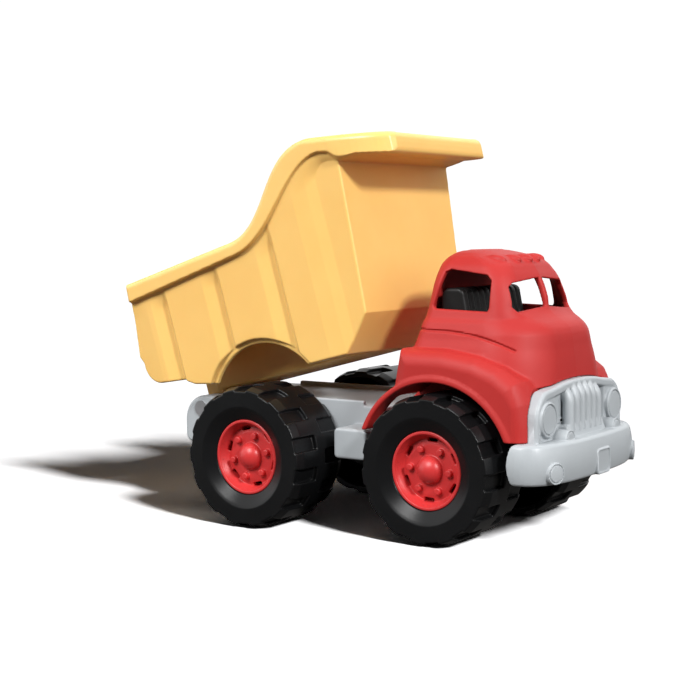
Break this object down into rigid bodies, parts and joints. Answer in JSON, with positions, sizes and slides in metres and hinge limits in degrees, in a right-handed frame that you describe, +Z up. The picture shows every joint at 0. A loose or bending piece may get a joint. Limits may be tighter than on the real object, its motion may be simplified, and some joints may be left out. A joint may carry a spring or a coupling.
{
  "type": "toy dump truck",
  "caption": "Cab-over toy dump truck with a moulded chassis, free-rolling axles, chunky treaded wheels and a scoop-shaped bed that tips up about hinge pins at the rear.",
  "frame": {"origin": "on the ground below the middle of the truck's overall box, with the bed tilted as drawn", "axes": "+X forward along the truck, +Y to the truck's left, +Z up; the wheels stand on Z = 0"},
  "size_m": [0.29, 0.1624, 0.2198],
  "materials": {
    "bed_plastic": "satin moulded plastic, warm yellow",
    "cab_plastic": "satin moulded plastic, red",
    "rim_plastic": "satin moulded plastic, red",
    "trim_plastic": "satin moulded plastic, pale grey",
    "tyre_plastic": "semi-gloss moulded plastic, black",
    "seat_plastic": "satin moulded plastic, charcoal",
    "pin_steel": "drawn steel rod",
    "screw_steel": "zinc-plated steel"
  },
  "bodies": {
    "chassis": {"chassis_frame": "trim_plastic", "front_axle_cradle": "trim_plastic", "rear_axle_cradle": "trim_plastic", "cradle_screws": "screw_steel", "cab_shell": "cab_plastic", "cab_interior": "seat_plastic", "steering_wheel": "seat_plastic", "cab_screws": "screw_steel", "bumper_and_grille": "trim_plastic", "bumper_screws": "screw_steel", "left_hinge_pin": "pin_steel", "right_hinge_pin": "pin_steel"},
    "bed": {"dump_bed": "bed_plastic"},
    "front_wheels": {"front_axle": "pin_steel", "front_left_tyre": "tyre_plastic", "front_right_tyre": "tyre_plastic", "front_left_rim": "rim_plastic", "front_right_rim": "rim_plastic"},
    "rear_wheels": {"rear_axle": "pin_steel", "rear_left_tyre": "tyre_plastic", "rear_right_tyre": "tyre_plastic", "rear_left_rim": "rim_plastic", "rear_right_rim": "rim_plastic"}
  },
  "joints": [
    {"name": "bed_tip", "type": "hinge", "parent": "chassis", "child": "bed", "pos_m": [-0.10015, 0, 0.06], "axis": [0, -1, 0], "range_deg": [-14.3, 30.7]},
    {"name": "front_axle_spin", "type": "hinge", "parent": "chassis", "child": "front_wheels", "pos_m": [0.07285, 0, 0.04], "axis": [0, 1, 0], "continuous": true},
    {"name": "rear_axle_spin", "type": "hinge", "parent": "chassis", "child": "rear_wheels", "pos_m": [-0.03815, 0, 0.04], "axis": [0, 1, 0], "continuous": true}
  ]
}
